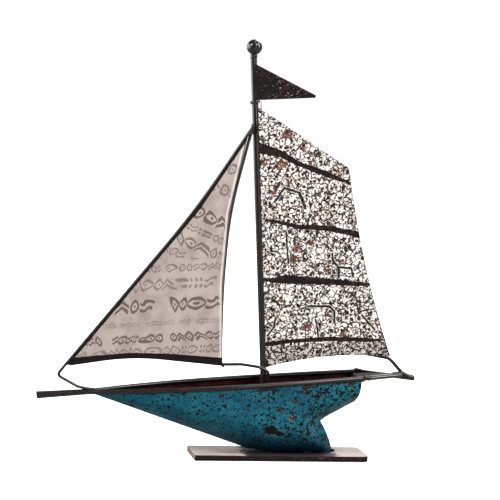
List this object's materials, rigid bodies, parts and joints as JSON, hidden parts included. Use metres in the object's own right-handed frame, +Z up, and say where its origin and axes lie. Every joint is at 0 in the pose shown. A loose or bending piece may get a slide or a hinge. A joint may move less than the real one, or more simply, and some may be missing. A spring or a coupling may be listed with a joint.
{
  "type": "metal sailboat sculpture",
  "caption": "Table ornament of painted sheet steel and welded rod: a two-sailed boat with an open hull, mast, ball and pennant, standing on a flat steel foot.",
  "frame": {"origin": "middle of the foot's underside", "axes": "+X aft towards the stern, +Y to the boat's port side, +Z up"},
  "size_m": [0.3856, 0.0588, 0.4195],
  "materials": {
    "foot_steel": "brushed bar with brown smears under clear lacquer",
    "teal_paint": "glossy teal with dark speckles and bare brown patches",
    "dark_steel": "heat-browned and lacquered, glossy",
    "jib_paint": "warm light grey with rows of taupe motifs and a brown border",
    "main_paint": "crackled off-white with brown speckles and four dark bands",
    "bright_wire": "thin bright wire"
  },
  "bodies": {
    "root": {"base_plate": "foot_steel", "hull_starboard_side": "teal_paint", "hull_port_side": "teal_paint", "transom_plate": "dark_steel", "starboard_rail": "dark_steel", "port_rail": "dark_steel", "mast": "dark_steel", "masthead_ball": "dark_steel", "mast_tie": "dark_steel", "pennant": "dark_steel", "jib_luff_rod": "dark_steel", "jib_boom": "dark_steel", "jib_leech_rod": "dark_steel", "jib_sheet": "jib_paint", "mainsail_sheet": "main_paint", "mainsail_luff_wire": "dark_steel", "head_loop": "bright_wire", "mainsail_strut": "dark_steel"}
  },
  "joints": []
}
